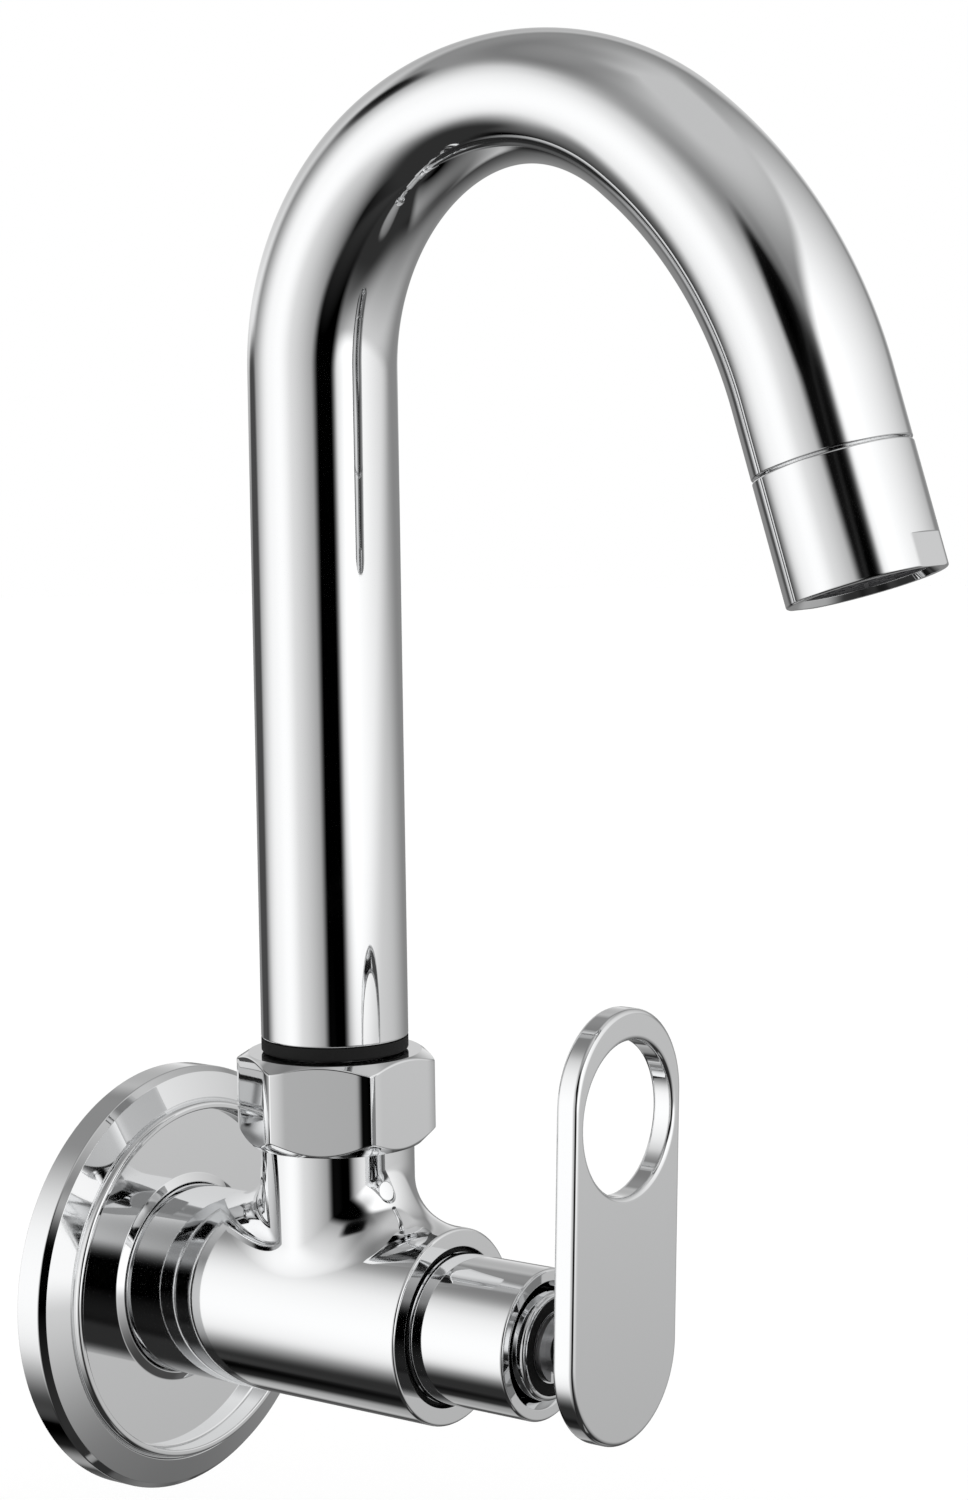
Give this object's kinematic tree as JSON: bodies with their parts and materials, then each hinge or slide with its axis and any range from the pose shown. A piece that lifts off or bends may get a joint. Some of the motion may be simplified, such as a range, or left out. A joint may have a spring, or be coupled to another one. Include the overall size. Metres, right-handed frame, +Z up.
{
  "type": "kitchen tap",
  "caption": "Wall-mounted cold tap with a swivelling gooseneck spout, union nut, round wall flange and a flat lever plate with a finger hole.",
  "frame": {"origin": "on the wall plane, on the axis of the inlet thread and barrel", "axes": "+Y into the wall along the inlet thread, so the barrel comes out along -Y; +Z up along the spout's straight leg"},
  "size_m": [0.075, 0.1691, 0.2494],
  "materials": {
    "chrome_plate": "polished chrome plate on brass",
    "black_rubber": "black nitrile rubber",
    "white_plastic": "white acetal",
    "grey_plastic": "dark grey moulded plastic",
    "white_ceramic": "lapped white ceramic",
    "steel": "stainless steel"
  },
  "bodies": {
    "body": {"wall_flange": "chrome_plate", "flange_grip_ring": "black_rubber", "tap_body": "chrome_plate", "spout_nut": "chrome_plate", "spout_slip_washer": "white_plastic", "headwork_body": "chrome_plate", "headwork_o_ring": "black_rubber", "headwork_dust_ring": "black_rubber", "disc_seal": "black_rubber", "fixed_disc": "white_ceramic", "thrust_washer": "white_plastic", "cartridge_sleeve": "chrome_plate"},
    "spout": {"spout_tube": "chrome_plate", "spout_foot_ring": "black_rubber", "spout_stem": "chrome_plate", "spout_o_rings": "black_rubber", "spout_retaining_ring": "steel", "outlet_ferrule": "chrome_plate", "aerator_shell": "chrome_plate", "aerator_washer": "black_rubber", "aerator_insert": "grey_plastic", "aerator_screens": "steel"},
    "lever": {"lever_plate": "chrome_plate", "lever_hub": "chrome_plate", "lever_grub_screw": "steel", "spindle": "chrome_plate", "spindle_circlip": "steel", "spindle_o_rings": "black_rubber", "turning_disc": "white_ceramic"}
  },
  "joints": [
    {"name": "spout_swivel", "type": "hinge", "parent": "body", "child": "spout", "pos_m": [0, -0.04, 0.03], "axis": [0, 0, 1], "range_deg": [-100, 100]},
    {"name": "lever_turn", "type": "hinge", "parent": "body", "child": "lever", "pos_m": [0, -0.06, 0], "axis": [0, -1, 0], "range_deg": [0, 90]}
  ]
}
